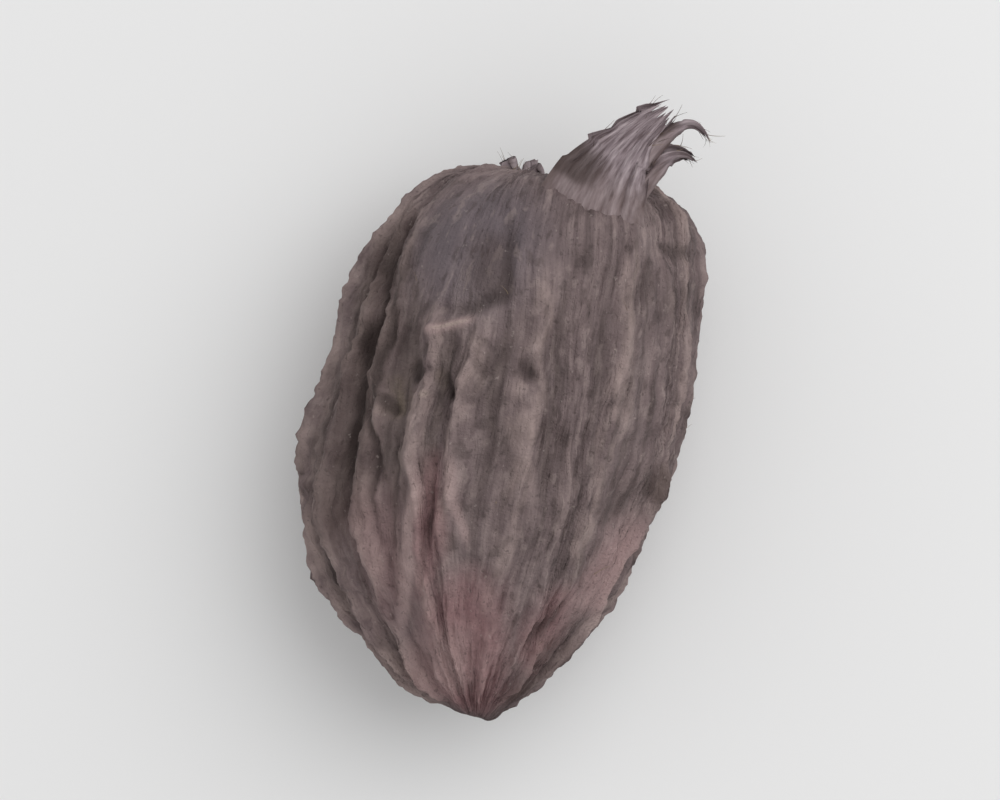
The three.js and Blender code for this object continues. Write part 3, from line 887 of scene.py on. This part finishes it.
# Dried fibre: dull straw to dark brown, one shade to a fibre
fibre_straw = bpy.data.materials.new("dried_fibre")
fibre_straw.use_nodes = True
straw = fibre_straw.node_tree
shader = straw.nodes["Principled BSDF"]
shade = add_node(straw, "ShaderNodeAttribute", output="Fac", attribute_name="shade")
colour = shade_ramp(straw, shade, FIBRE_SHADES)
straw.links.new(colour, shader.inputs["Base Color"])
shader.inputs["Roughness"].default_value = 0.75

for name, source in (("husk_fibres", husk), ("flap_fibres", flap), ("rim_fibres", rim)):
    piece = bpy.data.objects.new(name, source.data.copy())
    bpy.context.scene.collection.objects.link(piece)
    run_tree(piece, tufts, FIBRE_SIZES | {"Material": fibre_straw})
    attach(piece, "root")

# The pod lies on a plain pale table top, under a large soft lamp at the upper right, with an even fill of
# light from all round. The camera looks straight down, with the pod's broad end leaning to the right.
FLOOR_HALF = 0.6
FLOOR_GREY = 0.78
FLOOR_ROUGHNESS = 0.7
corners = [(x * FLOOR_HALF, y * FLOOR_HALF, 0) for x, y in ((-1, -1), (1, -1), (1, 1), (-1, 1))]
floor_mesh = bpy.data.meshes.new("table_top")
floor_mesh.from_pydata(corners, [], [(0, 1, 2, 3)])
floor = bpy.data.objects.new("table_top", floor_mesh)
bpy.context.scene.collection.objects.link(floor)
floor_paint = bpy.data.materials.new("matt_white_board")
floor_paint.use_nodes = True
shader = floor_paint.node_tree.nodes["Principled BSDF"]
shader.inputs["Base Color"].default_value = (FLOOR_GREY, FLOOR_GREY, FLOOR_GREY, 1)
shader.inputs["Roughness"].default_value = FLOOR_ROUGHNESS
floor.data.materials.append(floor_paint)

centre = (cad_box[0] + cad_box[1]) / 2

LAMP_PLACE = Vector((0.16, 0.2, 0.34))  # from the middle of the pod
LAMP_SIZE = 0.5
LAMP_POWER = 1.0
lamp_data = bpy.data.lights.new("soft_lamp", "AREA")
lamp_data.shape = "DISK"
lamp_data.size = LAMP_SIZE
lamp_data.energy = LAMP_POWER
lamp = bpy.data.objects.new("soft_lamp", lamp_data)
lamp.location = centre + LAMP_PLACE
lamp.rotation_euler = (centre - lamp.location).to_track_quat("-Z", "Y").to_euler()
bpy.context.scene.collection.objects.link(lamp)

ROOM_LIGHT = 0.7
world = bpy.data.worlds.new("soft_room")
world.use_nodes = True
world.node_tree.nodes["Background"].inputs["Color"].default_value = (1, 1, 1, 1)
world.node_tree.nodes["Background"].inputs["Strength"].default_value = ROOM_LIGHT
bpy.context.scene.world = world
bpy.context.scene.view_settings.view_transform = "Standard"

CAMERA_LEAN = math.radians(8.4)
CAMERA_HEIGHT = 0.54
CAMERA_LENS = 400
camera_data = bpy.data.cameras.new("camera")
camera_data.lens = CAMERA_LENS
camera = bpy.data.objects.new("camera", camera_data)
camera.location = centre + Vector((0, 0, CAMERA_HEIGHT))
camera.rotation_euler = (0, 0, CAMERA_LEAN)
bpy.context.scene.collection.objects.link(camera)
bpy.context.scene.camera = camera
